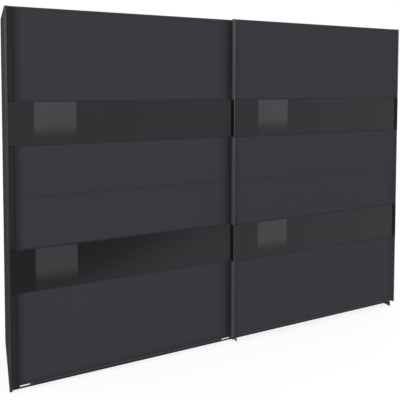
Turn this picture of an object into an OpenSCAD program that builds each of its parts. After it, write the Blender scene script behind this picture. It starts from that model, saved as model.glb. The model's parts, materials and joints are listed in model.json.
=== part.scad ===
/* [Carcase] */
// Width over the side panels and over the closed doors
carcase_w = 2750; // [2400:10:3000]
// Height of the side panels
carcase_h = 2100; // [2050:10:2200]
// From the rear door's face to the back edges of the side panels
carcase_d = 590; // [560:5:640]
// Thickness of a side panel
side_t = 16; // [15:1:19]
// Thickness of the partition, top and bottom boards
board_t = 16; // [15:1:18]
// Thickness of a shelf
shelf_t = 22; // [16:1:25]
// Height of the plinth under the bottom boards
plinth_h = 60; // [50:1:90]
// Height of a shelf's top face above the floor
shelf_z = 1790; // [1600:1:1850]

/* [Doors] */
// How far the two closed doors overlap
door_overlap = 46; // [40:1:50]
// Depth of a door
door_d = 24; // [24:0.5:25]
// Width of a door's upright grip profiles
stile_w = 50; // [50:1:56]
// Width of the bright lip on the front of a grip profile
lip_w = 10; // [9:0.5:12]
// Distance between the faces of the two doors
track_pitch = 32; // [31:0.5:34]
// Bottom of the front door above the floor
front_door_z = 44; // [40:1:48]
// Bottom of the rear door above the floor
rear_door_z = 24; // [23:1:26]
// Top of the front door below the top of the side panels
front_door_drop = 4; // [3:1:5]
// Top of the rear door below the top of the side panels
rear_door_drop = 6; // [6:1:8]

/* [Door bands] */
// Height of each glass band
band_h = 237; // [200:1:280]
// Bottom of the lower glass band above the floor
low_band_z = 549; // [480:1:600]
// Bottom of the upper glass band above the floor
high_band_z = 1352; // [1250:1:1400]
// Width of the satin square on each band
square_w = 228; // [180:1:300]
// From the rear door's left edge to its squares
rear_square_x = 143; // [100:1:200]
// From the front door's left edge to its squares
front_square_x = 186; // [100:1:200]

/* [Running gear] */
// Radius of a wheel over its flanges
wheel_r = 13; // [12:0.5:13]
// Width of a wheel
wheel_w = 8; // [7:0.5:8]
// Radius of a wheel's axle
axle_r = 3; // [2.5:0.5:3.5]
// From a door's edge to the middle of its carriage
carriage_inset = 150; // [120:5:200]
// Width of a carriage
carriage_w = 60; // [56:2:80]

/* [Inside] */
// Outer diameter of a clothes rail
clothes_rail_d = 25; // [20:1:30]
// Diameter of the screw hole in a wall bracket
wall_hole_d = 6.5; // [5:0.5:8]

/* [Hidden] */

$fn = 48;

// Colours
graphite = [0.23, 0.23, 0.25];
light_edge = [0.40, 0.40, 0.43];
black_glass = [0.08, 0.08, 0.09];
satin_grey = [0.30, 0.29, 0.29];
dark_metal = [0.16, 0.16, 0.17];
zinc = [0.66, 0.67, 0.68];
white_nylon = [0.86, 0.86, 0.84];
black_plastic = [0.05, 0.05, 0.05];
hardboard = [0.55, 0.55, 0.55];

// Depths are measured back from the rear door's face, and the whole wardrobe is then
// moved so that its box is centred on the origin.
centre_shift = (carcase_d - track_pitch) / 2;
half_w = carcase_w / 2;
inner_x = half_w - side_t;
side_front_y = 27;
back_panel_t = 3;
back_panel_y = carcase_d - 18;

// Doors: one record each, [left edge, depth of face, bottom, top]
door_w = half_w + door_overlap / 2;
rear_door = [-half_w, 0, rear_door_z, carcase_h - rear_door_drop];
front_door = [half_w - door_w, -track_pitch, front_door_z, carcase_h - front_door_drop];

function door_x(door) = door[0];
function door_face(door) = door[1];
function door_bottom(door) = door[2];
function door_top(door) = door[3];

// A door's layers, measured back from its face
lip_t = 1.5;
web_t = 2;
glass_front = 5;
glass_t = 4;
square_t = 0.5;
panel_front = 6;
panel_back = 22;
flange_t = door_d - panel_back - 0.2;
flange_front = door_d - flange_t;
member_x = stile_w + 0.3;
panel_x = stile_w - 3;

// Heights of the joints between the panels and the glass bands of a door
joint_heights = [low_band_z, low_band_z + band_h, (low_band_z + band_h + high_band_z) / 2,
                 high_band_z, high_band_z + band_h];
joint_gap = 1;

// Running gear
wheel_y = 38.5;
groove_depth = 2;
groove_w = 4.4;
rolling_r = wheel_r - groove_depth;
rail_lip_t = 3;
rail_gap = 0.3;
front_axle_z = carcase_h - 33;
rear_axle_z = carcase_h - 75;
rail_web_y = 47;
rail_web_t = 2.5;
ledge_t = 2;
ledge_drop = 6;
top_board_y = 36;
top_board_z = carcase_h - board_t;

// Bottom guiding: two grooves in a rail on the floor, in front of the plinth
plinth_y = 60;
guide_rail_y = 40;
guide_rail_h = 9;
groove_gap = 4;
rib_t = 2;
front_groove_y = guide_rail_y + rib_t;
rear_groove_y = front_groove_y + groove_gap + 2 * rib_t;

// A block given by its two corners
module block(low, high) {
    translate(low) cube(high - low);
}

// A rectangle from the origin with true round corners
module rounded_rect(w, d, r) {
    translate([r, 0]) square([w - 2 * r, d]);
    translate([0, r]) square([w, d - 2 * r]);
    for (x = [r, w - r], y = [r, d - r]) translate([x, y]) circle(r, $fn = 32);
}

// An outline in the Y-Z plane, drawn along X
module along_x(x, length) {
    translate([x, 0, 0]) rotate([90, 0, 90]) linear_extrude(length) children();
}

module centred() {
    translate([0, -centre_shift, 0]) children();
}

// ---- Carcase ----

glide_h = 4;
glide_cap_h = 16;
glide_cap_d = 12;
edge_r = 1;

module side_panel(x) {
    color(graphite) centred() difference() {
        translate([x, side_front_y, glide_h]) linear_extrude(carcase_h - glide_h)
            rounded_rect(side_t, carcase_d - side_front_y, edge_r);
        block([x - 1, side_front_y - 1, 0],
              [x + side_t + 1, side_front_y + glide_cap_d, glide_cap_h]);
    }
}

partition_y = 80;

module middle_partition() {
    color(graphite) centred()
        block([-board_t / 2, partition_y, glide_h], [board_t / 2, back_panel_y, top_board_z]);
}

// side is -1 for the left half and 1 for the right half
module top_board(side) {
    color(graphite) centred()
        block([side < 0 ? -inner_x : 0.2, top_board_y, top_board_z],
              [side < 0 ? -0.2 : inner_x, back_panel_y, carcase_h]);
}

module bottom_board(side) {
    color(graphite) centred()
        block([side < 0 ? -inner_x : board_t / 2, plinth_y, plinth_h],
              [side < 0 ? -board_t / 2 : inner_x, back_panel_y, plinth_h + board_t]);
}

module plinth_board() {
    color(graphite) centred()
        block([-inner_x, plinth_y, 0], [inner_x, plinth_y + board_t, plinth_h]);
}

// One track: a ledge with an upright lip whose round top carries the wheels
module track(axle_z) {
    lip_top = axle_z - rolling_r - rail_gap;
    lip_r = rail_lip_t / 2;
    ledge_z = lip_top - ledge_drop - ledge_t;
    translate([wheel_y - lip_r, ledge_z]) square([rail_web_y - wheel_y + lip_r + 1, ledge_t]);
    translate([wheel_y - lip_r, ledge_z]) square([rail_lip_t, lip_top - lip_r - ledge_z]);
    translate([wheel_y, lip_top - lip_r]) circle(lip_r, $fn = 32);
}

rail_bottom_z = rear_axle_z - 24;
rail_flange_d = 30;
rail_end_gap = 0.5;

module running_rail() {
    color(zinc) centred() along_x(-inner_x + rail_end_gap, 2 * (inner_x - rail_end_gap)) {
        translate([rail_web_y, rail_bottom_z])
            square([rail_web_t, top_board_z - rail_bottom_z]);
        translate([rail_web_y, top_board_z - rail_web_t]) square([rail_flange_d, rail_web_t]);
        track(front_axle_z);
        track(rear_axle_z);
    }
}

// Floor rail with a groove for each door's guides, turned up against the plinth
module bottom_guide_rail() {
    color(dark_metal) centred() along_x(-inner_x + rail_end_gap, 2 * (inner_x - rail_end_gap)) {
        translate([guide_rail_y, 0]) square([plinth_y - guide_rail_y, rib_t]);
        for (y = [guide_rail_y, front_groove_y + groove_gap,
                  rear_groove_y - rib_t, rear_groove_y + groove_gap])
            translate([y, 0]) square([rib_t, guide_rail_h]);
        translate([plinth_y - rib_t, 0]) square([rib_t, 2 * guide_rail_h]);
    }
}

back_panel_w = inner_x / 2;
back_gap = 1.2;

// Four panels, numbered from the left
module back_panel(number) {
    x = -inner_x + (number - 1) * back_panel_w;
    color(hardboard) centred()
        block([x + back_gap, back_panel_y, plinth_h],
              [x + back_panel_w - back_gap, back_panel_y + back_panel_t, carcase_h]);
}

strip_w = 24;
strip_t = 1.2;
strip_web_t = 2;

// H-shaped strips join the two back panels of each half
module back_joint_strips() {
    low = plinth_h + board_t + 1;
    high = top_board_z - 1;
    color(graphite) centred() for (x = [-back_panel_w, back_panel_w]) union() {
        for (y = [back_panel_y - strip_t, back_panel_y + back_panel_t])
            block([x - strip_w / 2, y, low], [x + strip_w / 2, y + strip_t, high]);
        block([x - strip_web_t / 2, back_panel_y - strip_t / 2, low],
              [x + strip_web_t / 2, back_panel_y + back_panel_t + strip_t / 2, high]);
    }
}

shelf_front_y = 100;
shelf_back_y = back_panel_y - 8;
shelf_gap = 0.5;

module shelf(side) {
    inner = board_t / 2 + shelf_gap;
    outer = inner_x - shelf_gap;
    color(graphite) centred()
        block([side < 0 ? -outer : inner, shelf_front_y, shelf_z - shelf_t],
              [side < 0 ? -inner : outer, shelf_back_y, shelf_z]);
}

clothes_rail_y = 320;
clothes_rail_z = shelf_z - shelf_t - 60;
clothes_rail_wall = 1.2;
cup_depth = 12;
cup_flange_t = 3;
cup_flange_w = 10;
cup_wall = 3;
cup_gap = 0.3;

module clothes_rail(side) {
    inner = board_t / 2 + cup_flange_t + cup_gap;
    outer = inner_x - cup_flange_t - cup_gap;
    r = clothes_rail_d / 2;
    color(zinc) centred()
        translate([side < 0 ? -outer : inner, clothes_rail_y, clothes_rail_z])
            rotate([0, 90, 0]) difference() {
                cylinder(r = r, h = outer - inner);
                translate([0, 0, -1])
                    cylinder(r = r - clothes_rail_wall, h = outer - inner + 2);
            }
}

// A cup on a round flange, with its open end towards +X
module rail_cup() {
    r = clothes_rail_d / 2;
    rotate([0, 90, 0]) difference() {
        union() {
            cylinder(r = r + cup_flange_w, h = cup_flange_t);
            cylinder(r = r + cup_wall, h = cup_flange_t + cup_depth);
        }
        translate([0, 0, cup_flange_t]) cylinder(r = r + cup_gap, h = cup_depth + 1);
    }
}

module clothes_rail_brackets() {
    color(zinc) centred() for (x = [-inner_x, board_t / 2]) {
        translate([x, clothes_rail_y, clothes_rail_z]) rail_cup();
        translate([-x, clothes_rail_y, clothes_rail_z]) mirror([1, 0, 0]) rail_cup();
    }
}

pin_r = 3;
pin_reach = 10;
pin_inset = 40;

module shelf_pins() {
    z = shelf_z - shelf_t - pin_r;
    ys = [shelf_front_y + pin_inset, shelf_back_y - pin_inset];
    color(zinc) centred() for (y = ys, s = [-1, 1]) {
        translate([s * inner_x, y, z]) rotate([0, -90 * s, 0])
            cylinder(r = pin_r, h = pin_reach);
        translate([s * board_t / 2, y, z]) rotate([0, 90 * s, 0])
            cylinder(r = pin_r, h = pin_reach);
    }
}

glide_l = 50;
glide_inset = 0.4;

// Glides under the upright boards; the front ones also cap the side panels' lower corners
module panel_glides() {
    front = side_front_y + glide_inset;
    color(black_plastic) centred() {
        for (x = [-half_w, inner_x]) {
            union() {
                block([x, front, 0], [x + side_t, front + glide_l, glide_h]);
                block([x, front, 0], [x + side_t, side_front_y + glide_cap_d, glide_cap_h]);
            }
            block([x, carcase_d - glide_l, 0], [x + side_t, carcase_d - 5, glide_h]);
        }
        for (y = [partition_y, back_panel_y - glide_l])
            block([-board_t / 2, y, 0], [board_t / 2, y + glide_l, glide_h]);
    }
}

buffer_l = 25;
buffer_gap = 2;
buffer_top = 6;

// Rubber stops on both tracks, just past the outer wheels
module end_buffers() {
    x = half_w - carriage_inset + wheel_r + buffer_gap;
    color(black_plastic) centred() for (s = [-1, 1], axle_z = [front_axle_z, rear_axle_z])
        block([s < 0 ? -x - buffer_l : x, wheel_y + rail_lip_t / 2,
               axle_z - rolling_r - rail_gap - ledge_drop],
              [s < 0 ? -x : x + buffer_l, rail_web_y, axle_z + buffer_top]);
}

bracket_leg = 40;
bracket_w = 30;
bracket_t = 2;
bracket_screw = [4, 1.5];
bracket_ys = [150, 480];

// An angle bracket in the corner between a wall at x = 0 and a board at z = 0
module angle_bracket() {
    screw_at = bracket_leg - 12;
    block([0, 0, 0], [bracket_t, bracket_w, bracket_leg]);
    block([0, 0, 0], [bracket_leg, bracket_w, bracket_t]);
    translate([bracket_t, bracket_w / 2, screw_at]) rotate([0, 90, 0])
        cylinder(r = bracket_screw[0], h = bracket_screw[1]);
    translate([screw_at, bracket_w / 2, bracket_t])
        cylinder(r = bracket_screw[0], h = bracket_screw[1]);
}

// Brackets join the boards to the sides and the partition
module corner_brackets() {
    color(zinc) centred() for (y = bracket_ys, s = [-1, 1], x = [inner_x, board_t / 2]) {
        flip = s * (x > board_t ? -1 : 1) < 0 ? 1 : 0;
        translate([s * x, y, plinth_h + board_t]) mirror([flip, 0, 0]) angle_bracket();
        translate([s * x, y, top_board_z]) mirror([0, 0, 1]) mirror([flip, 0, 0])
            angle_bracket();
    }
}

wall_bracket_x = 900;
wall_bracket_w = 40;
wall_bracket_h = 30;
wall_bracket_t = 2.5;
wall_bracket_reach = 70;
wall_hole_z = carcase_h + 17;

// Angles on the top boards, turned up against the wall, with a hole for a wall screw
module wall_brackets() {
    color(zinc) centred() for (x = [-wall_bracket_x, wall_bracket_x])
        difference() {
            union() {
                block([x - wall_bracket_w / 2, carcase_d - wall_bracket_reach, carcase_h],
                      [x + wall_bracket_w / 2, carcase_d, carcase_h + wall_bracket_t]);
                block([x - wall_bracket_w / 2, carcase_d - wall_bracket_t, carcase_h],
                      [x + wall_bracket_w / 2, carcase_d, carcase_h + wall_bracket_h]);
            }
            translate([x, carcase_d - wall_bracket_t - 1, wall_hole_z]) rotate([-90, 0, 0])
                cylinder(d = wall_hole_d, h = wall_bracket_t + 2);
        }
}

// ---- Doors ----

// The hollow grip of a stile: a wall between two arcs, open to the front
grip_centre = [27.5, -4];
grip_outer_r = 20;
grip_wall = 2;
inner_lip_w = 6.5;

// The part of a ring around the grip's centre that lies behind the two setbacks, one on
// the side of the door's edge and one on the side of the infill
module grip_ring(outer, inner, edge_setback, infill_setback) {
    reach = 2 * grip_outer_r;
    difference() {
        translate(grip_centre) circle(outer, $fn = 96);
        translate(grip_centre) circle(inner, $fn = 96);
        translate([grip_centre[0] - reach, edge_setback - reach]) square(reach);
        translate([grip_centre[0], infill_setback - reach]) square(reach);
    }
}

// Upright grip profile, drawn for a door's left edge from x = 0 and seen from above
module stile_outline() {
    r = lip_t / 2;
    translate([0, r]) square([web_t, door_d - r]);
    translate([r, 0]) square([lip_w - 2 * r, lip_t]);
    for (x = [r, lip_w - r]) translate([x, r]) circle(r, $fn = 32);
    grip_ring(grip_outer_r, grip_outer_r - grip_wall, r, panel_front - r);
    translate([stile_w - inner_lip_w, panel_front - lip_t]) square([inner_lip_w, lip_t]);
    translate([0, flange_front]) square([stile_w, flange_t]);
}

// Moves what is drawn for a door's left edge to one of its two edges
module at_edge(door, right_edge) {
    translate([door_x(door) + (right_edge ? door_w : 0), door_face(door), 0])
        mirror([right_edge ? 1 : 0, 0, 0]) children();
}

// At each glass band the web of a stile has a window, and its grip is cut back so that
// the glass passes over it. A right edge's lip has a shallow recess there.
window_front = 3;
window_back = 21;
cut_front = panel_front - 2.5;
cut_back = glass_front + glass_t + 0.2;
glass_setback = 3;
strip_end_w = 31;
cap_t = 0.7;

module stile(door, right_edge) {
    color(light_edge) centred() at_edge(door, right_edge) difference() {
        translate([0, 0, door_bottom(door)])
            linear_extrude(door_top(door) - door_bottom(door)) stile_outline();
        for (z = [low_band_z, high_band_z]) {
            block([-1, window_front, z], [web_t + 0.5, window_back, z + band_h]);
            block([web_t + 0.5, cut_front, z], [stile_w + 1, cut_back, z + band_h]);
            if (right_edge) block([-1, -1, z], [lip_w + 1, cap_t, z + band_h]);
        }
    }
}

insert_gap = 0.2;
insert_recess = 0.4;

// Black pieces at each glass band: a plate in the web's window, and at a right edge also a
// cap on the lip and a strip that ends the glass
module grip_inserts(door) {
    color(black_plastic) centred()
        for (right_edge = [false, true], z = [low_band_z, high_band_z])
            at_edge(door, right_edge) {
                low = z + insert_gap;
                high = z + band_h - insert_gap;
                block([insert_recess, window_front + insert_gap, low],
                      [web_t - insert_gap, window_back - insert_gap, high]);
                if (right_edge) {
                    block([0, 0, low], [lip_w, cap_t - 0.1, high]);
                    block([glass_setback, glass_front, low],
                          [strip_end_w - insert_gap, glass_front + web_t, high]);
                }
            }
}

profile_front = panel_front - lip_t;
top_lip = 10;
back_flange_h = 70;

// Top profile: a short front lip and a tall back flange that carries the carriages
module top_profile(door) {
    y = door_face(door);
    top = door_top(door);
    color(graphite) centred() along_x(door_x(door) + member_x, door_w - 2 * member_x) {
        translate([y + profile_front, top - top_lip]) square([lip_t, top_lip]);
        translate([y + profile_front, top - lip_t]) square([door_d - profile_front, lip_t]);
        translate([y + flange_front, top - back_flange_h]) square([flange_t, back_flange_h]);
    }
}

bottom_lip = 20;
shoe_gap = 1;
shoe_l = 54;
shoe_low = 7;
shoe_high = 16;
shoe_places = [member_x + shoe_gap, door_w - member_x - shoe_gap - shoe_l];
leg_l = 30;
leg_front = 12;
leg_back = 19.6;

// Bottom profile; the rear door's has a slot and a notch for each guide shoe
module bottom_profile(door, shoes) {
    y = door_face(door);
    z = door_bottom(door);
    color(graphite) centred() difference() {
        along_x(door_x(door) + member_x, door_w - 2 * member_x) {
            translate([y + profile_front, z]) square([lip_t, bottom_lip]);
            translate([y + profile_front, z]) square([door_d - profile_front, lip_t]);
            translate([y + flange_front, z]) square([flange_t, 2 * bottom_lip]);
        }
        for (x = shoes) {
            left = door_x(door) + x;
            middle = left + shoe_l / 2;
            block([left - shoe_gap - 1, y, z + shoe_low],
                  [left + shoe_l + shoe_gap, y + panel_front + 1, z + shoe_high]);
            block([middle - leg_l / 2 - 0.3, y + leg_front - 0.3, z - 1],
                  [middle + leg_l / 2 + 0.3, y + leg_back + 0.3, z + lip_t + 1]);
        }
    }
}

// Infill panel between two heights
module door_panel(door, low, high) {
    y = door_face(door);
    color(graphite) centred()
        block([door_x(door) + panel_x, y + panel_front, low],
              [door_x(door) + door_w - panel_x, y + panel_back, high]);
}

module panel_bottom(door) {
    door_panel(door, door_bottom(door) + shoe_high + 1, joint_heights[0] - joint_gap);
}

module panel_lower_middle(door) {
    door_panel(door, joint_heights[1] + joint_gap, joint_heights[2] - joint_gap);
}

module panel_upper_middle(door) {
    door_panel(door, joint_heights[2] + joint_gap, joint_heights[3] - joint_gap);
}

module panel_top(door) {
    door_panel(door, joint_heights[4] + joint_gap, door_top(door) - lip_t - 0.5);
}

// Lacquered glass band from the left lip to the black strip, above joint number `joint`
module glass_band(door, joint) {
    y = door_face(door) + glass_front;
    color(black_glass) centred()
        block([door_x(door) + glass_setback, y, joint_heights[joint] + joint_gap],
              [door_x(door) + door_w - strip_end_w, y + glass_t,
               joint_heights[joint + 1] - joint_gap]);
}

square_margin = 3;

// Satin squares on the face of both bands
module squares(door, x) {
    y = door_face(door) + glass_front;
    color(satin_grey) centred() for (z = [low_band_z, high_band_z])
        block([door_x(door) + x, y - square_t, z + square_margin],
              [door_x(door) + x + square_w, y, z + band_h - square_margin]);
}

strip_lip_h = 3;
strip_lip_t = 0.6;
strip_body_t = 1.5;
strip_back_h = 10;

// Joint profiles that hold panels and glass to each other
module joint_strips(door) {
    y = door_face(door);
    color(dark_metal) centred() for (z = joint_heights)
        along_x(door_x(door) + member_x, door_w - 2 * member_x) {
            translate([y + glass_front - strip_lip_t, z - strip_lip_h / 2])
                square([strip_lip_t, strip_lip_h]);
            translate([y + glass_front - strip_lip_t, z - strip_body_t / 2])
                square([panel_back - glass_front + strip_lip_t + 1, strip_body_t]);
            translate([y + panel_back, z - strip_back_h / 2]) square([1, strip_back_h]);
        }
}

// Where a door's two carriages are, from its left edge
carriage_places = [carriage_inset, door_w - carriage_inset];
carriage_t = 2.5;
plate_low = 80;
plate_high = 4;
screw_r = 4;
screw_head = 1.6;
axle_head_t = 1.5;
axle_head_gap = 0.6;

// Axle from a carriage plate through its wheel, with a head behind the wheel
module axle(x, from_y, z) {
    end_y = wheel_y + wheel_w / 2 + axle_head_gap;
    translate([x, from_y, z]) rotate([-90, 0, 0]) {
        cylinder(r = axle_r, h = end_y - from_y + axle_head_t / 2);
        translate([0, 0, end_y - from_y])
            cylinder(r = axle_r + axle_head_t, h = axle_head_t);
    }
}

// Four screw heads on a carriage plate
module carriage_screws(x, plate_y, top) {
    for (dx = [-18, 18], drop = [42, 62])
        translate([x + dx, plate_y, top - drop]) rotate([-90, 0, 0])
            cylinder(r = screw_r, h = screw_head);
}

// The rear door's carriages are flat plates behind its top edge
module rear_carriages() {
    y = door_face(rear_door) + door_d;
    top = door_top(rear_door);
    color(zinc) centred() for (place = carriage_places) {
        x = door_x(rear_door) + place;
        block([x - carriage_w / 2, y, top - plate_low],
              [x + carriage_w / 2, y + carriage_t, top - plate_high]);
        axle(x, y + carriage_t / 2, rear_axle_z);
        carriage_screws(x, y + carriage_t, top);
    }
}

arm_gap = 1.5;
ear_y = 31;
ear_drop = 9;

// The front door's carriages reach back over the rear door and turn down to their wheels
module front_carriages() {
    y = door_face(front_door) + door_d;
    top = door_top(front_door);
    arm_z = door_top(rear_door) + arm_gap;
    ear_low = front_axle_z - ear_drop;
    color(zinc) centred() for (place = carriage_places) {
        x = door_x(front_door) + place;
        along_x(x - carriage_w / 2, carriage_w) {
            translate([y, top - back_flange_h])
                square([carriage_t, arm_z + carriage_t - top + back_flange_h]);
            translate([y, arm_z]) square([ear_y + carriage_t - y, carriage_t]);
            translate([ear_y, ear_low]) square([carriage_t, arm_z + carriage_t - ear_low]);
        }
        axle(x, ear_y + carriage_t / 2, front_axle_z);
        carriage_screws(x, y + carriage_t, top);
    }
}

bore_gap = 0.05;

// Grooved wheel on its axle
module wheel(door, place, axle_z) {
    flange_w = (wheel_w - groove_w) / 2;
    color(black_plastic) centred()
        translate([door_x(door) + carriage_places[place], wheel_y - wheel_w / 2, axle_z])
            rotate([-90, 0, 0]) difference() {
                union() {
                    cylinder(r = wheel_r, h = flange_w);
                    cylinder(r = rolling_r, h = wheel_w);
                    translate([0, 0, wheel_w - flange_w]) cylinder(r = wheel_r, h = flange_w);
                }
                translate([0, 0, -1]) cylinder(r = axle_r + bore_gap, h = wheel_w + 2);
            }
}

finger_t = 3;
finger_low = 3.5;
finger_l = 40;
finger_gap = (groove_gap - finger_t) / 2;
plate_t = 3;

// The rear door's white shoes show through the slots in its bottom profile; a leg and a
// plate carry a finger back and down into the rear groove
module rear_guides() {
    z = rear_door_z;
    finger_y = rear_groove_y + finger_gap;
    plate_z = z - 1.5 - plate_t;
    color(white_nylon) centred() for (place = shoe_places) {
        left = door_x(rear_door) + place;
        middle = left + shoe_l / 2;
        union() {
            block([left, panel_front + insert_gap, z + shoe_low + insert_gap],
                  [left + shoe_l, leg_back, z + shoe_high - insert_gap]);
            block([middle - leg_l / 2, leg_front, plate_z],
                  [middle + leg_l / 2, leg_back, z + shoe_low + 1]);
            block([middle - leg_l / 2, leg_front, plate_z],
                  [middle + leg_l / 2, finger_y + finger_t, plate_z + plate_t]);
            block([middle - finger_l / 2, finger_y, finger_low],
                  [middle + finger_l / 2, finger_y + finger_t, plate_z + 1]);
        }
    }
}

guide_inset = 38;
blade_t = 4;
blade_low = 10;
blade_high = 18;
pad_l = 45;
pad_h = 8;
pad_front_y = -14;
gusset_l = 53;
gusset_y = -30;
gusset_t = 4;
nose_l = 8;

// The front door's guides: a pad under the door, and a blade that passes under the rear
// door to a finger in the front groove. The right one has a triangular gusset at its face.
module front_guides() {
    z = front_door_z;
    pad_back_y = door_face(front_door) + door_d;
    finger_y = front_groove_y + finger_gap;
    color(black_plastic) centred() for (right = [false, true])
        translate([right ? door_x(front_door) + door_w : door_x(front_door), 0, 0])
            mirror([right ? 1 : 0, 0, 0]) union() {
                front_y = right ? gusset_y : pad_front_y;
                block([guide_inset, pad_front_y, z - pad_h],
                      [guide_inset + pad_l, pad_back_y, z]);
                block([guide_inset, front_y, blade_low], [guide_inset + blade_t, pad_back_y, z]);
                block([guide_inset, front_y, blade_low],
                      [guide_inset + blade_t, finger_y + finger_t, blade_high]);
                block([guide_inset + (blade_t - finger_l) / 2, finger_y, finger_low],
                      [guide_inset + (blade_t + finger_l) / 2, finger_y + finger_t,
                       blade_low + 1]);
                if (right)
                    translate([guide_inset, gusset_y + gusset_t, 0]) rotate([90, 0, 0])
                        linear_extrude(gusset_t)
                            polygon([[0, blade_low], [gusset_l, z], [0, z]]);
                else
                    block([0, gusset_y, z - pad_h], [nose_l, pad_back_y, z]);
                if (!right)
                    block([0, pad_front_y, z - pad_h], [guide_inset + 1, pad_back_y, z]);
            }
}

side_panel(-half_w);  // left_side_panel
side_panel(inner_x);  // right_side_panel
middle_partition();
top_board(-1);  // top_board_left
top_board(1);  // top_board_right
bottom_board(-1);  // bottom_board_left
bottom_board(1);  // bottom_board_right
plinth_board();
running_rail();
bottom_guide_rail();
back_panel(1);  // back_panel_1
back_panel(2);  // back_panel_2
back_panel(3);  // back_panel_3
back_panel(4);  // back_panel_4
back_joint_strips();
shelf(-1);  // left_shelf
shelf(1);  // right_shelf
clothes_rail(-1);  // left_clothes_rail
clothes_rail(1);  // right_clothes_rail
clothes_rail_brackets();
shelf_pins();
panel_glides();
end_buffers();
corner_brackets();
wall_brackets();

stile(rear_door, false);  // left_door_left_stile
stile(rear_door, true);  // left_door_right_stile
top_profile(rear_door);  // left_door_top_profile
bottom_profile(rear_door, shoe_places);  // left_door_bottom_profile
panel_bottom(rear_door);  // left_door_panel_bottom
panel_lower_middle(rear_door);  // left_door_panel_lower_middle
panel_upper_middle(rear_door);  // left_door_panel_upper_middle
panel_top(rear_door);  // left_door_panel_top
glass_band(rear_door, 0);  // left_door_glass_lower
glass_band(rear_door, 3);  // left_door_glass_upper
squares(rear_door, rear_square_x);  // left_door_squares
joint_strips(rear_door);  // left_door_joint_strips
grip_inserts(rear_door);  // left_door_grip_inserts
rear_carriages();  // left_door_carriages
rear_guides();  // left_door_guides
wheel(rear_door, 0, rear_axle_z);  // left_door_left_wheel
wheel(rear_door, 1, rear_axle_z);  // left_door_right_wheel

stile(front_door, false);  // right_door_left_stile
stile(front_door, true);  // right_door_right_stile
top_profile(front_door);  // right_door_top_profile
bottom_profile(front_door, []);  // right_door_bottom_profile
panel_bottom(front_door);  // right_door_panel_bottom
panel_lower_middle(front_door);  // right_door_panel_lower_middle
panel_upper_middle(front_door);  // right_door_panel_upper_middle
panel_top(front_door);  // right_door_panel_top
glass_band(front_door, 0);  // right_door_glass_lower
glass_band(front_door, 3);  // right_door_glass_upper
squares(front_door, front_square_x);  // right_door_squares
joint_strips(front_door);  // right_door_joint_strips
grip_inserts(front_door);  // right_door_grip_inserts
front_carriages();  // right_door_carriages
front_guides();  // right_door_guides
wheel(front_door, 0, front_axle_z);  // right_door_left_wheel
wheel(front_door, 1, front_axle_z);  // right_door_right_wheel
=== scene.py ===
"""Looks of a sliding door wardrobe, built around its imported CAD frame."""

import json
import math

import bmesh
import bpy
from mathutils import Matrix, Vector


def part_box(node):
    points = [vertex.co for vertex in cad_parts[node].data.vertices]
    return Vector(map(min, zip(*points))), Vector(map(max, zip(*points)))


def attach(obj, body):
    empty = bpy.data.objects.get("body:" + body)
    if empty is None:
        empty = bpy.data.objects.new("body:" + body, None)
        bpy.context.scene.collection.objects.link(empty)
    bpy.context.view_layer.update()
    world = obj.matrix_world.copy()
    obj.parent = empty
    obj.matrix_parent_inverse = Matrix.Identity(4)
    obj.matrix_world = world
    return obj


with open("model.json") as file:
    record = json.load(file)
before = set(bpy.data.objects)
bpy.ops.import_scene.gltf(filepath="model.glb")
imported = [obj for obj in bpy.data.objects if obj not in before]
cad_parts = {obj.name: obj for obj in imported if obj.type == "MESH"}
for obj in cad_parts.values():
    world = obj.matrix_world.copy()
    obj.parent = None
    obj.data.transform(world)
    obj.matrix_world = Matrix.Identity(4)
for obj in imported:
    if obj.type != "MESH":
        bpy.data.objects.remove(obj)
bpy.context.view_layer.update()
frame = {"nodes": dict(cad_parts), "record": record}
nodes = frame["nodes"]
DOORS = ("left_door", "right_door")


# ---- Camera ----

CAMERA_PLACE = (-1.4823, -2.9114, 1.6654)
CAMERA_TILT_DOWN = 2.283
CAMERA_TURN_RIGHT = 22.709


def make_camera():
    """Eye-height view from the left of the wardrobe, turned towards its middle."""
    data = bpy.data.cameras.new("camera")
    data.sensor_width = 36.0
    data.lens = 42.152
    data.shift_x = 0.0513
    data.shift_y = -0.2344
    data.clip_end = 10000.0
    camera = bpy.data.objects.new("camera", data)
    camera.location = CAMERA_PLACE
    camera.rotation_euler = (math.radians(90 - CAMERA_TILT_DOWN), 0, math.radians(-CAMERA_TURN_RIGHT))
    bpy.context.scene.collection.objects.link(camera)
    bpy.context.scene.camera = camera


# ---- Node helpers ----

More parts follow.
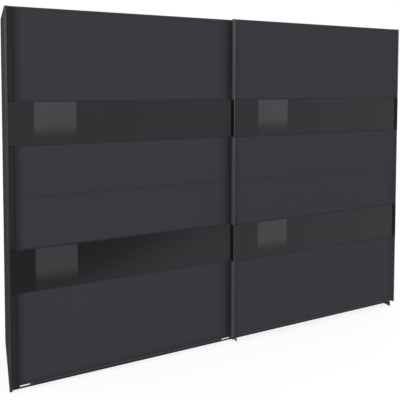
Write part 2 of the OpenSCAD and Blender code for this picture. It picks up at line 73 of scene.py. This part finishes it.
class Graph:
    """A small builder for one node tree."""

    def __init__(self, tree):
        self.tree = tree
        tree.nodes.clear()

    def add(self, kind, **settings):
        node = self.tree.nodes.new(kind)
        for key, value in settings.items():
            setattr(node, key, value)
        return node

    def link(self, source, target):
        self.tree.links.new(source, target)

    def feed(self, socket, value):
        """Gives a socket a colour, a number or a link from another socket."""
        if isinstance(value, tuple):
            socket.default_value = (*value, 1.0)
        elif isinstance(value, (int, float)):
            socket.default_value = value
        else:
            self.link(value, socket)

    def math(self, operation, first, second=0.0):
        node = self.add("ShaderNodeMath", operation=operation)
        self.feed(node.inputs[0], first)
        self.feed(node.inputs[1], second)
        return node.outputs[0]

    def distance(self, value, place):
        return self.math("ABSOLUTE", self.math("SUBTRACT", value, place))

    def inside(self, value, low, high):
        """1 where a value lies between two limits, else 0."""
        return self.math("MULTIPLY", self.math("GREATER_THAN", value, low),
                         self.math("LESS_THAN", value, high))

    def remap(self, value, low, high, start=0.3, end=0.7, interpolation="LINEAR"):
        """value from start..end to low..high, clamped."""
        node = self.add("ShaderNodeMapRange", interpolation_type=interpolation)
        for key, number in (("From Min", start), ("From Max", end), ("To Min", low), ("To Max", high)):
            node.inputs[key].default_value = number
        self.link(value, node.inputs["Value"])
        return node.outputs["Result"]

    def mix(self, factor, dark, light):
        """A colour between two colours or colour sockets."""
        node = self.add("ShaderNodeMix", data_type="RGBA")
        self.link(factor, node.inputs["Factor"])
        self.feed(node.inputs[6], dark)
        self.feed(node.inputs[7], light)
        return node.outputs[2]

    def mix_value(self, factor, low, high):
        """A number between two numbers or sockets."""
        node = self.add("ShaderNodeMix")
        self.link(factor, node.inputs["Factor"])
        self.feed(node.inputs[2], low)
        self.feed(node.inputs[3], high)
        return node.outputs[0]


class Shader(Graph):
    """A builder for one material, whose patterns lie in object coordinates, in metres."""

    def __init__(self, name):
        self.material = bpy.data.materials.new(name)
        self.material.use_nodes = True
        super().__init__(self.material.node_tree)
        output = self.add("ShaderNodeOutputMaterial")
        self.surface = self.add("ShaderNodeBsdfPrincipled")
        self.link(self.surface.outputs["BSDF"], output.inputs["Surface"])
        self.place = self.add("ShaderNodeTexCoord").outputs["Object"]

    def set(self, **values):
        """Constant inputs of the surface shader."""
        for key, value in values.items():
            self.surface.inputs[key.replace("_", " ")].default_value = value

    def axis(self, name):
        """One object coordinate of the shaded point."""
        node = self.add("ShaderNodeSeparateXYZ")
        self.link(self.place, node.inputs["Vector"])
        return node.outputs[name]

    def stretch(self, scale):
        """Object coordinates scaled along each axis."""
        node = self.add("ShaderNodeMapping")
        node.inputs["Scale"].default_value = scale
        self.link(self.place, node.inputs["Vector"])
        return node.outputs["Vector"]

    def noise(self, scale, detail=2.0, roughness=0.5, vector=None):
        node = self.add("ShaderNodeTexNoise")
        node.inputs["Scale"].default_value = scale
        node.inputs["Detail"].default_value = detail
        node.inputs["Roughness"].default_value = roughness
        self.link(vector or self.place, node.inputs["Vector"])
        return node.outputs["Fac"]

    def grain(self, scale, detail=2.0, roughness=0.5, vector=None):
        """Noise spread over the whole of 0..1."""
        return self.remap(self.noise(scale, detail, roughness, vector), 0.0, 1.0)

    def painted_occlusion(self, reach, samples=8):
        """Ambient occlusion, used as painted shade: 0 deep in a corner up to 1 on an open face."""
        node = self.add("ShaderNodeAmbientOcclusion", samples=samples)
        node.inputs["Distance"].default_value = reach
        return node.outputs["AO"]

    def colour(self, socket):
        self.link(socket, self.surface.inputs["Base Color"])

    def roughness(self, socket):
        self.link(socket, self.surface.inputs["Roughness"])

    def bump(self, value, strength, distance):
        node = self.add("ShaderNodeBump")
        node.inputs["Strength"].default_value = strength
        node.inputs["Distance"].default_value = distance
        self.link(value, node.inputs["Height"])
        self.link(node.outputs["Normal"], self.surface.inputs["Normal"])


# ---- Boards ----

PANEL = (0.0364, 0.0350, 0.0416)

# How far from a corner its painted shade reaches
CORNER_REACH = 0.085

# Where the painted shade beside a grip fades, along X from the stile's inner edge
SHADE_BESIDE_GRIP = (-0.015, 0.037)

# Specular level of the drilled boards
SIDE_GLOSS = 0.004

PIN_HOLE_R = 0.0025
PIN_HOLE_PITCH = 0.032
PIN_HOLE_COLUMNS = (-0.125, 0.235)
PIN_HOLE_RANGE = (0.30, 1.62)


def tint(colour, share):
    return tuple(part * share for part in colour)


def pin_holes(s, inner_x):
    """1 inside the two columns of pin holes on the faces at or inside inner_x, else 0."""
    z = s.axis("Z")
    first, second = (s.distance(s.axis("Y"), y) for y in PIN_HOLE_COLUMNS)
    across = s.math("MINIMUM", first, second)
    along = s.math("PINGPONG", z, PIN_HOLE_PITCH / 2)
    squared = s.math("ADD", s.math("POWER", across, 2.0), s.math("POWER", along, 2.0))
    hole = s.math("MULTIPLY", s.math("LESS_THAN", squared, PIN_HOLE_R ** 2),
                  s.inside(z, *PIN_HOLE_RANGE))
    inner = s.math("LESS_THAN", s.math("ABSOLUTE", s.axis("X")), inner_x + 0.0005)
    return s.math("MULTIPLY", hole, inner)


def melamine(name, shaded_from=None, drilled_to=None):
    """Matte graphite decor on chipboard: fine pearl grain, faint clouds and painted shade in corners.
    With shaded_from, painted shade dims it towards that X, as beside a deep grip. With drilled_to,
    faces at or inside that X have columns of pin holes."""
    s = Shader(name)
    cloud = s.mix(s.grain(1.6, 3.0, 0.6), tint(PANEL, 0.98), tint(PANEL, 1.02))
    base = s.mix(s.remap(s.noise(1400.0, 1.0), 0.0, 0.25), cloud, tint(PANEL, 1.25))
    if shaded_from is not None:
        # Painted shade: the colour dims towards shaded_from, as beside a deep grip
        away = s.math("SUBTRACT", s.axis("X"), shaded_from)
        base = s.mix(s.remap(away, 0.0, 1.0, *SHADE_BESIDE_GRIP), tint(PANEL, 0.58), base)
    if drilled_to is not None:
        base = s.mix(pin_holes(s, drilled_to), base, tint(PANEL, 0.12))
    # Painted shade: ambient occlusion darkens the colour towards corners
    s.colour(s.mix(s.remap(s.painted_occlusion(CORNER_REACH), 0.0, 1.0, 0.42, 0.98), tint(PANEL, 0.42), base))
    s.roughness(s.remap(s.noise(900.0), 0.62, 0.72))
    s.set(Specular_IOR_Level=0.0 if drilled_to is None else SIDE_GLOSS)
    s.bump(s.noise(1100.0, 2.0, 0.6), 0.12, 0.0002)
    return s.material


def hardboard():
    """Plain grey lacquered hardboard with a fibrous mottle."""
    s = Shader("grey_hardboard")
    s.colour(s.mix(s.grain(90.0, 6.0, 0.65), (0.115, 0.112, 0.108), (0.150, 0.146, 0.140)))
    s.roughness(s.remap(s.noise(260.0, 3.0), 0.6, 0.8))
    s.set(Specular_IOR_Level=0.3)
    s.bump(s.noise(420.0, 4.0, 0.7), 0.2, 0.0004)
    return s.material


# ---- Profiles ----

# Noise scales of an extrusion's die lines, across and along it
LINE_FINE = 900.0
LINE_LONG = 1.2

# A stile's zones: how deep its lip lies, and widths measured inward from the door's edge
LIP_DEPTH = 0.0012
LIP_W = 0.0108
BLACK_LIP_W = 0.005
EDGE_SKIN = 0.0004
INFILL_FROM = 0.0435

# How far from a corner inside a grip its painted shade reaches
GRIP_REACH = 0.03

LIP_TONES = ((0.100, 0.100, 0.107), (0.118, 0.118, 0.125))
EDGE_TONES = ((0.060, 0.060, 0.064), (0.072, 0.072, 0.076))
BLACK_EDGE = tint(PANEL, 0.3)
# Height of a bottom profile's bend, under which shade is painted
BOTTOM_BEND_H = 0.007
MIDDLE_JOINT_REACH = 0.010


def right_door_bands(s):
    """For each glass band of the right door, 1 at the band's height, else 0."""
    for band in ("lower", "upper"):
        low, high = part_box("right_door_glass_" + band)
        yield s.inside(s.axis("Z"), low.z - 0.001, high.z + 0.001)


def stile_finish(node, right_edge):
    """Extruded aluminium: a bright satin lip, a mid-grey edge and a dark coated grip with painted shade
    in its corners. Beside the left side panel, painted shade makes the grip darker and its lip and edge
    dimmer than on the other ones."""
    s = Shader(node + "_finish_painted_shade")
    low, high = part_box(node)
    beside_side_panel = node == "left_door_left_stile"
    # Painted shade: darker grip, edge and lip tones for the stile beside the left side panel; depth is
    # a brightness share, not a depth
    depth, edge_share, lip_share = (0.52, 1.0, 0.72) if beside_side_panel else (0.92, 1.18, 1.0)

    inward = s.distance(s.axis("X"), high.x if right_edge else low.x)
    behind = s.math("SUBTRACT", s.axis("Y"), low.y)
    on_lip = s.math("MULTIPLY", s.math("LESS_THAN", behind, LIP_DEPTH),
                    s.math("LESS_THAN", inward, LIP_W))
    on_edge = s.math("LESS_THAN", inward, EDGE_SKIN)
    lines = s.grain(1.0, 3.0, 0.7, s.stretch((LINE_FINE, LINE_FINE, LINE_LONG)))

    grip = s.mix(lines, tint(PANEL, depth), tint(PANEL, depth * 1.08))
    if not beside_side_panel:
        grip = s.mix(s.math("GREATER_THAN", inward, INFILL_FROM), grip, PANEL)
    # Painted shade: ambient occlusion darkens the grip towards its corners
    grip = s.mix(s.remap(s.painted_occlusion(GRIP_REACH), 0.0, 1.0, 0.20, 0.85), tint(PANEL, 0.5 * depth), grip)
    edge_tone = s.mix(lines, *(tint(tone, edge_share) for tone in EDGE_TONES))
    lip_tone = s.mix(lines, *(tint(tone, lip_share) for tone in LIP_TONES))
    if node == "right_door_left_stile":
        for band in right_door_bands(s):
            black = s.math("MULTIPLY", band, s.math("LESS_THAN", inward, BLACK_LIP_W))
            lip_tone = s.mix(black, lip_tone, BLACK_EDGE)
            edge_tone = s.mix(black, edge_tone, BLACK_EDGE)

    s.colour(s.mix(on_lip, s.mix(on_edge, grip, edge_tone), lip_tone))
    s.roughness(s.mix_value(on_lip, 0.55, s.remap(lines, 0.30, 0.40, 0.0, 1.0)))
    s.link(s.math("MULTIPLY", on_lip, 0.85), s.surface.inputs["Metallic"])
    s.set(Specular_IOR_Level=0.15)
    s.bump(lines, 0.08, 0.0002)
    return s.material


def coated_profile(name, low, high, painted_shade_below=None):
    """Satin coat on an extrusion along X, with painted shade on the bend below a height."""
    s = Shader(name)
    lines = s.noise(1.0, 3.0, 0.7, s.stretch((LINE_LONG, LINE_FINE, LINE_FINE)))
    coat = s.mix(s.remap(lines, 0.0, 1.0), low, high)
    if painted_shade_below is not None:
        # Painted shade: the downward bend is darker
        coat = s.mix(s.math("LESS_THAN", s.axis("Z"), painted_shade_below), coat, tint(low, 0.35))
    s.colour(coat)
    s.roughness(s.remap(lines, 0.48, 0.60))
    s.set(Specular_IOR_Level=0.15)
    s.bump(lines, 0.08, 0.0002)
    return s.material


def joint_strip():
    """Coated strips between infill pieces. At the middle joint, where no glass hides them,
    painted light makes them as light as the panels look, to offset the shade there."""
    s = Shader("joint_strip")
    middle = (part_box("left_door_panel_lower_middle")[1].z
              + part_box("left_door_panel_upper_middle")[0].z) / 2
    grain = s.grain(500.0)
    dark = s.mix(grain, tint(PANEL, 0.66), tint(PANEL, 0.78))
    # Painted light: the middle strip is lighter than the panels, to offset the shade at that joint
    light = s.mix(grain, tint(PANEL, 1.22), tint(PANEL, 1.32))
    middle_painted_light = s.math("LESS_THAN", s.distance(s.axis("Z"), middle), MIDDLE_JOINT_REACH)
    s.colour(s.mix(middle_painted_light, dark, light))
    s.roughness(s.remap(grain, 0.55, 0.65, 0.0, 1.0))
    s.set(Specular_IOR_Level=0.05)
    return s.material


def bare_metal(name, dark, light, rough, stretch):
    """Zinc plate or mill-finish aluminium, brushed along one axis."""
    s = Shader(name)
    lines = s.noise(1.0, 4.0, 0.65, s.stretch(stretch))
    s.colour(s.mix(s.remap(lines, 0.0, 1.0), dark, light))
    s.roughness(s.remap(lines, rough - 0.06, rough + 0.06))
    s.set(Metallic=1.0)
    s.bump(lines, 0.1, 0.0002)
    return s.material


# ---- Glass and plastic ----

# How far a square lies inside its glass's edges, and the shares of the glass's height, from
# the square's lower edge up, between which it fades
SQUARE_MARGIN = 0.002
SQUARE_FADE = (0.13, 0.49)


def lacquered_glass():
    """Glass lacquered brown-black on its back: a polished face, a faint ripple."""
    s = Shader("black_glass")
    s.colour(s.mix(s.grain(3.0), (0.0108, 0.0093, 0.0106), (0.0120, 0.0104, 0.0118)))
    s.roughness(s.remap(s.noise(5.0), 0.035, 0.06))
    s.set(Specular_IOR_Level=0.5)
    s.bump(s.noise(2.2, 1.0), 0.01, 0.002)
    return s.material


def satin_squares():
    """Smoked satin squares that fade into the glass towards their lower edges."""
    s = Shader("satin_square")
    bottom, top = (corner.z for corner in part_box("left_door_squares"))
    glass_low, glass_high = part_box("left_door_glass_lower")
    size = glass_high.z - glass_low.z
    z = s.axis("Z")
    upper = s.math("GREATER_THAN", z, (bottom + top) / 2)
    offset = s.math("MULTIPLY", upper, top - bottom - size + 2 * SQUARE_MARGIN)
    share = s.math("DIVIDE", s.math("SUBTRACT", s.math("SUBTRACT", z, bottom), offset), size)
    fade = s.remap(share, 0.0, 1.0, *SQUARE_FADE, "SMOOTHSTEP")
    light = s.mix(s.grain(700.0), (0.035, 0.032, 0.035), (0.039, 0.036, 0.039))
    s.colour(s.mix(fade, (0.012, 0.0105, 0.012), light))
    s.roughness(s.remap(s.noise(12.0), 0.16, 0.22))
    s.set(Specular_IOR_Level=0.5)
    return s.material


def plastic(name, dark, light, rough, level=0.4):
    """Moulded plastic or rubber with a fine spark-eroded grain."""
    s = Shader(name)
    s.colour(s.mix(s.grain(60.0, 3.0), dark, light))
    s.roughness(s.remap(s.noise(500.0), rough - 0.05, rough + 0.05))
    s.set(Specular_IOR_Level=level)
    s.bump(s.noise(900.0), 0.1, 0.0002)
    return s.material


# ---- Materials of the nodes ----

def slot_looks():
    """One material for each slot, apart from the stiles, which have one each."""
    return {
        "graphite_board": melamine("graphite_melamine"),
        "back_board": hardboard(),
        "graphite_profile": coated_profile("graphite_profile", tint(PANEL, 0.9), tint(PANEL, 1.05)),
        "dark_profile": coated_profile("dark_profile", (0.016, 0.016, 0.018), (0.028, 0.028, 0.031)),
        "dark_strip": plastic("dark_strip", tint(PANEL, 0.66), tint(PANEL, 0.78), 0.6, 0.1),
        "bare_aluminium": bare_metal("mill_aluminium", (0.50, 0.51, 0.53), (0.62, 0.63, 0.65), 0.35,
                                     (1.5, 700.0, 700.0)),
        "zinc_steel": bare_metal("zinc_plate", (0.42, 0.44, 0.46), (0.58, 0.59, 0.60), 0.32,
                                 (60.0, 60.0, 60.0)),
        "black_glass": lacquered_glass(),
        "satin_square": satin_squares(),
        "gloss_black": plastic("gloss_black", (0.0085, 0.0078, 0.0088), (0.0100, 0.0092, 0.0104),
                               0.4, 0.08),
        "white_nylon": plastic("white_nylon", (0.70, 0.70, 0.67), (0.78, 0.78, 0.75), 0.45),
        "black_plastic": plastic("black_plastic", (0.010, 0.010, 0.011), (0.016, 0.016, 0.017), 0.5),
        "black_rubber": plastic("black_rubber", (0.012, 0.012, 0.012), (0.020, 0.020, 0.020), 0.75,
                                0.25),
    }


def dress_nodes(looks):
    """Gives each CAD node the look of its slot, or one of its own where its place needs it."""
    painted_grip_shade = melamine("graphite_beside_grip", shaded_from=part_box("left_door_left_stile")[1].x)
    drilled = melamine("graphite_drilled", drilled_to=-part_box("left_side_panel")[1].x)
    strips = joint_strip()
    for entry in frame["record"]["subparts"]:
        name = entry["node"]
        if entry["material_slot"] == "grip_profile":
            look = stile_finish(name, name.endswith("right_stile"))
        elif name.endswith("_door_joint_strips"):
            look = strips
        elif name.endswith("_bottom_profile"):
            look = coated_profile(name + "_coat_painted_shade", tint(PANEL, 0.95), tint(PANEL, 1.05),
                                  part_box(name)[0].z + BOTTOM_BEND_H)
        elif name.startswith("left_door_panel"):
            look = painted_grip_shade
        elif name.endswith("_side_panel") or name == "middle_partition":
            look = drilled
        else:
            look = looks[entry["material_slot"]]
        mesh = nodes[name].data
        mesh.materials.clear()
        mesh.materials.append(look)


# ---- Shapes of the small pieces ----

def make_piece(name, body, material, fill):
    """A mesh piece that fill(bmesh) builds, riding on a CAD body."""
    mesh = bpy.data.meshes.new(name)
    bm = bmesh.new()
    fill(bm)
    bmesh.ops.recalc_face_normals(bm, faces=bm.faces)
    bm.to_mesh(mesh)
    bm.free()
    mesh.materials.append(material)
    piece = bpy.data.objects.new(name, mesh)
    bpy.context.scene.collection.objects.link(piece)
    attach(piece, body)


def skin(bm, loops):
    """A closed solid over a row of loops with equally many vertices."""
    count = len(loops[0])
    for lower, upper in zip(loops, loops[1:]):
        for i in range(count):
            j = (i + 1) % count
            bm.faces.new((lower[i], lower[j], upper[j], upper[i]))
    bm.faces.new(loops[0][::-1])
    bm.faces.new(loops[-1])


def lathe(bm, place, direction, rings):
    """A closed solid of rings, each a list of (angle, radius, height) round a direction."""
    turn = Vector(direction).to_track_quat("Z", "Y")
    loops = []
    for ring in rings:
        points = (Vector((r * math.cos(a), r * math.sin(a), h)) for a, r, h in ring)
        loops.append([bm.verts.new(Vector(place) + turn @ point) for point in points])
    skin(bm, loops)


HEAD_PROFILE = ((1.0, 0.0), (1.0, 0.45), (0.86, 0.86), (0.6, 1.0))
CROSS_ARM = math.radians(14)
CROSS_OUTER = 0.46
CROSS_INNER = 0.15
CROSS_FLOOR = 0.45


def cross_head(bm, place, direction, radius, height):
    """A pan head screw with a cross recess."""
    angles = [quarter * math.pi / 2 + a
              for quarter in range(4) for a in (-CROSS_ARM, CROSS_ARM, math.pi / 4)]
    rings = [[(a, r * radius, h * height) for a in angles] for r, h in HEAD_PROFILE]
    for h in (1.0, CROSS_FLOOR):
        rings.append([(a, (CROSS_INNER if i % 3 == 2 else CROSS_OUTER) * radius, h * height)
                      for i, a in enumerate(angles)])
    lathe(bm, place, direction, rings)


def disc_cap(bm, place, direction, radius, height, steps=24, dish=0.0):
    """A round cap with a rolled rim, and a dished middle if dish is more than 0."""
    angles = [math.tau * i / steps for i in range(steps)]
    middle = 1.0 - dish
    profile = ((1.0, 0.0), (1.0, 0.5), (0.93, 0.9), (0.82, 1.0), (0.72, middle), (0.2, middle))
    lathe(bm, place, direction, [[(a, r * radius, h * height) for a in angles] for r, h in profile])


def prism(bm, outline, low, high):
    """A closed upright prism over an outline of (x, y)."""
    skin(bm, [[bm.verts.new((x, y, z)) for x, y in outline] for z in (low, high)])


def spread(start, end, spacing):
    """Even places from start to end, about spacing apart."""
    count = max(1, round(abs(end - start) / spacing))
    return [start + (end - start) * i / count for i in range(count + 1)]


# ---- Fasteners and caps ----

NAIL_R = 0.0028
SEAM_NAIL_R = 0.0024
NAIL_HEAD_H = 0.0009
NAIL_STEPS = 12
NAIL_PITCH = 0.12
NAIL_INSET = (0.030, 0.008)
SEAM_PITCH = 0.15
SEAM_RANGE = (0.16, 0.10)
SEAM_INSET = 0.0035

# Radius and height of the screw heads
BRACKET_HEAD = (0.0042, 0.0022)
PROFILE_HEAD = (0.0038, 0.0018)
BRACKET_T = 0.0025

CAM_CAP_R = 0.0085
CAM_CAP_H = 0.0012
CAM_CAP_INSET = 0.034
CAM_CAP_PLACES = (-0.06, 0.14)


def back_nails(bm):
    """Nails that hold the back panels to the boards' ends and the partition."""
    def nail(x, y, z, radius):
        disc_cap(bm, (x, y, z), (0, 1, 0), radius, NAIL_HEAD_H, NAIL_STEPS)

    for number in range(1, 5):
        low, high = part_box("back_panel_%d" % number)
        for z in (low.z + NAIL_INSET[1], high.z - NAIL_INSET[1]):
            for x in spread(low.x + NAIL_INSET[0], high.x - NAIL_INSET[0], NAIL_PITCH):
                nail(x, high.y, z, NAIL_R)
    seam_low, seam_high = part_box("middle_partition")
    seam_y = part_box("back_panel_2")[1].y
    for z in spread(SEAM_RANGE[0], seam_high.z - SEAM_RANGE[1], SEAM_PITCH):
        for x in (seam_low.x + SEAM_INSET, seam_high.x - SEAM_INSET):
            nail(x, seam_y, z, SEAM_NAIL_R)


def bracket_screws(bm):
    """Two screws through the lying leg of each wall bracket."""
    low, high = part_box("wall_brackets")
    leg_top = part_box("top_board_left")[1].z + BRACKET_T
    for x in (low.x + 0.020, high.x - 0.020):
        for y in (low.y + 0.015, low.y + 0.042):
            cross_head(bm, (x, y, leg_top), (0, 0, 1), *BRACKET_HEAD)


def cam_caps(bm):
    """Caps over the cam fittings near the ends of the lying boards."""
    floor_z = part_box("bottom_board_left")[1].z
    roof_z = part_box("top_board_left")[0].z
    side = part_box("left_side_panel")[1].x + CAM_CAP_INSET
    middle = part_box("middle_partition")[0].x - CAM_CAP_INSET
    for x in (side, middle, -middle, -side):
        for y in CAM_CAP_PLACES:
            for z, up in ((floor_z, 1), (roof_z, -1)):
                disc_cap(bm, (x, y, z), (0, 0, up), CAM_CAP_R, CAM_CAP_H, 32, 0.3)


def profile_screws(door):
    """Screws through the back flanges of a door's top and bottom profiles."""
    def fill(bm):
        top_low, top_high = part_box(door + "_top_profile")
        bottom_low, bottom_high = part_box(door + "_bottom_profile")
        for share in (0.022, 0.20, 0.40, 0.60, 0.80, 0.978):
            x = top_low.x + share * (top_high.x - top_low.x)
            for y, z in ((top_high.y, top_high.z - 0.035), (bottom_high.y, bottom_low.z + 0.029)):
                cross_head(bm, (x, y, z), (0, 1, 0), *PROFILE_HEAD)
    return fill


# A stile's end cap follows its grip, an arc between two angles, and stays just inside the rest
CAP_T = 0.0012
CAP_MARGIN = 0.0003
STILE_W = 0.050
STILE_D = 0.024
LIP_END = 0.0097
INFILL_Y = 0.0045
GRIP_CENTRE = (0.0275, -0.004)
GRIP_R = 0.018
GRIP_ANGLES = (math.radians(162.2), math.radians(28.2))
GRIP_STEPS = 24


def cap_outline():
    """A left edge's outline from its corner: lip, grip, infill edge and back."""
    start, end = GRIP_ANGLES
    angles = [start + (end - start) * i / GRIP_STEPS for i in range(GRIP_STEPS + 1)]
    grip = [(GRIP_CENTRE[0] + GRIP_R * math.cos(a), GRIP_CENTRE[1] + GRIP_R * math.sin(a))
            for a in angles]
    right, back = STILE_W - CAP_MARGIN, STILE_D - CAP_MARGIN
    return [(CAP_MARGIN, CAP_MARGIN), (LIP_END, CAP_MARGIN), *grip,
            (right, INFILL_Y), (right, back), (CAP_MARGIN, back)]


def stile_caps(door):
    """Moulded caps that close the ends of a door's stiles."""
    def fill(bm):
        for edge in ("left", "right"):
            low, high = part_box("%s_%s_stile" % (door, edge))
            outline = [(low.x + x if edge == "left" else high.x - x, low.y + y)
                       for x, y in cap_outline()]
            prism(bm, outline, high.z, high.z + CAP_T)
            prism(bm, outline, low.z - CAP_T, low.z)
    return fill


# ---- Brush seals ----

RIBBON_HALF = 0.003
RIBBON_T = 0.0006
TUFT_PITCH = 0.0032
TUFT_HALF_W = 0.0016
TUFT_HALF_H = 0.0013
TUFT_LEAN = 0.0006


def brush_seal(x, face, depth, low, high):
    """A pile seal on a stile's back: a low ribbon and a row of leaning tufts."""
    def fill(bm):
        prism(bm, [(x - RIBBON_HALF, face), (x + RIBBON_HALF, face), (x + RIBBON_HALF, face + RIBBON_T),
                   (x - RIBBON_HALF, face + RIBBON_T)], low, high)
        foot = [(-TUFT_HALF_W, -TUFT_HALF_H), (TUFT_HALF_W, -TUFT_HALF_H),
                (TUFT_HALF_W, TUFT_HALF_H), (-TUFT_HALF_W, TUFT_HALF_H)]
        for i, z in enumerate(spread(low + 0.003, high - 0.003, TUFT_PITCH)):
            lean = TUFT_LEAN * math.sin(i * 2.4)
            reach = depth * (0.94 + 0.06 * math.sin(i * 1.7))
            lower = [bm.verts.new((x + a, face + 0.0005, z + b)) for a, b in foot]
            upper = [bm.verts.new((x + a * 0.55 + lean, face + reach, z + b * 0.8 + lean))
                     for a, b in foot]
            skin(bm, [lower, upper])
    return fill


def make_small_pieces(looks):
    make_piece("back_panel_nails", "carcase", looks["zinc_steel"], back_nails)
    make_piece("wall_bracket_screws", "carcase", looks["zinc_steel"], bracket_screws)
    make_piece("cam_cover_caps", "carcase", looks["dark_strip"], cam_caps)
    for door in DOORS:
        make_piece(door + "_profile_screws", door, looks["zinc_steel"],
                   profile_screws(door))
        make_piece(door + "_stile_end_caps", door, looks["black_plastic"],
                   stile_caps(door))
    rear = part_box("left_door_left_stile")
    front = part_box("right_door_left_stile")
    pile = plastic("seal_pile", (0.014, 0.014, 0.015), (0.030, 0.030, 0.032), 0.9, 0.1)
    make_piece("left_door_brush_seal", "left_door", pile,
               brush_seal(rear[0].x + 0.008, rear[1].y, 0.0026, rear[0].z, rear[1].z))
    make_piece("right_door_brush_seal", "right_door", pile,
               brush_seal(front[0].x + 0.012, front[1].y, 0.0064, front[0].z, front[1].z))


# ---- Stage ----

FLOOR_HALF = 2000.0


def make_floor():
    """A wide plain pale floor, which polished faces don't mirror."""
    mesh = bpy.data.meshes.new("floor")
    corners = [(x * FLOOR_HALF, y * FLOOR_HALF, 0) for x, y in ((-1, -1), (1, -1), (1, 1), (-1, 1))]
    mesh.from_pydata(corners, [], [(0, 1, 2, 3)])
    floor = bpy.data.objects.new("floor", mesh)
    floor.visible_glossy = False
    bpy.context.scene.collection.objects.link(floor)
    s = Shader("pale_floor")
    s.colour(s.mix(s.noise(0.5), (0.20, 0.20, 0.20), (0.21, 0.21, 0.21)))
    s.set(Roughness=0.9, Specular_IOR_Level=0.0, Emission_Color=(1.0, 1.0, 1.0, 1.0),
          Emission_Strength=0.84)
    mesh.materials.append(s.material)


def make_world():
    """White studio above the horizon. Below it is a dim room, which a camera above the floor
    sees only in polished faces. It is brighter to the right and has a dark patch low in
    front of the left door."""
    world = bpy.data.worlds.new("studio")
    world.use_nodes = True
    g = Graph(world.node_tree)
    split = g.add("ShaderNodeSeparateXYZ")
    g.link(g.add("ShaderNodeTexCoord").outputs["Generated"], split.inputs["Vector"])
    x, y, z = split.outputs
    elevation = g.math("ARCSINE", z)
    azimuth = g.math("ARCTAN2", x, g.math("MULTIPLY", y, -1.0))

    def ramp(angle, start, end, low, high):
        """A smooth step from low to high between two angles in degrees."""
        return g.remap(angle, low, high, math.radians(start), math.radians(end), "SMOOTHSTEP")

    room = ramp(azimuth, 5, 50, 0.53, 0.62)
    slanted = g.math("SUBTRACT", elevation, g.math("MULTIPLY", azimuth, 0.35))
    patch = g.math("MULTIPLY", ramp(slanted, -30, -22, 0.0, 1.0), ramp(elevation, -12, -8, 1.0, 0.0))
    patch = g.math("MULTIPLY", patch, ramp(azimuth, 14, 44, 1.0, 0.0))
    dim = g.math("MULTIPLY", room, g.remap(patch, 1.0, 0.28, 0.0, 1.0, "SMOOTHSTEP"))
    sky = ramp(elevation, -1.0, -0.1, 0.0, 1.0)
    background = g.add("ShaderNodeBackground")
    g.link(g.mix(sky, (1.04, 0.96, 1.06), (1.0, 1.0, 1.0)), background.inputs["Color"])
    g.link(g.mix_value(sky, dim, 1.0), background.inputs["Strength"])
    output = g.add("ShaderNodeOutputWorld")
    g.link(background.outputs["Background"], output.inputs["Surface"])
    bpy.context.scene.world = world


def area_light(name, place, size, power):
    """A soft light that looks at the middle of the wardrobe and isn't mirrored."""
    data = bpy.data.lights.new(name, "AREA")
    data.shape = "RECTANGLE"
    data.size, data.size_y = size
    data.energy = power
    light = bpy.data.objects.new(name, data)
    light.location = place
    light.rotation_euler = (Vector((0, 0, 1)) - Vector(place)).to_track_quat("-Z", "Y").to_euler()
    bpy.context.scene.collection.objects.link(light)
    light.visible_glossy = False


def make_lights():
    area_light("key", (-3.0, -5.5, 4.5), (4.0, 3.0), 60)
    area_light("fill", (4.5, -5.0, 3.0), (3.0, 3.0), 30)
    bpy.context.scene.view_settings.view_transform = "Standard"


def calm_reflections():
    """Keeps parts of the front door out of mirror reflections, which would show its left
    edge twice in the rear door's glass beside it."""
    for part in ("left_stile", "grip_inserts", "glass_lower", "glass_upper"):
        nodes["right_door_" + part].visible_glossy = False


make_camera()
make_world()
make_lights()
make_floor()
slot_materials = slot_looks()
dress_nodes(slot_materials)
make_small_pieces(slot_materials)
calm_reflections()
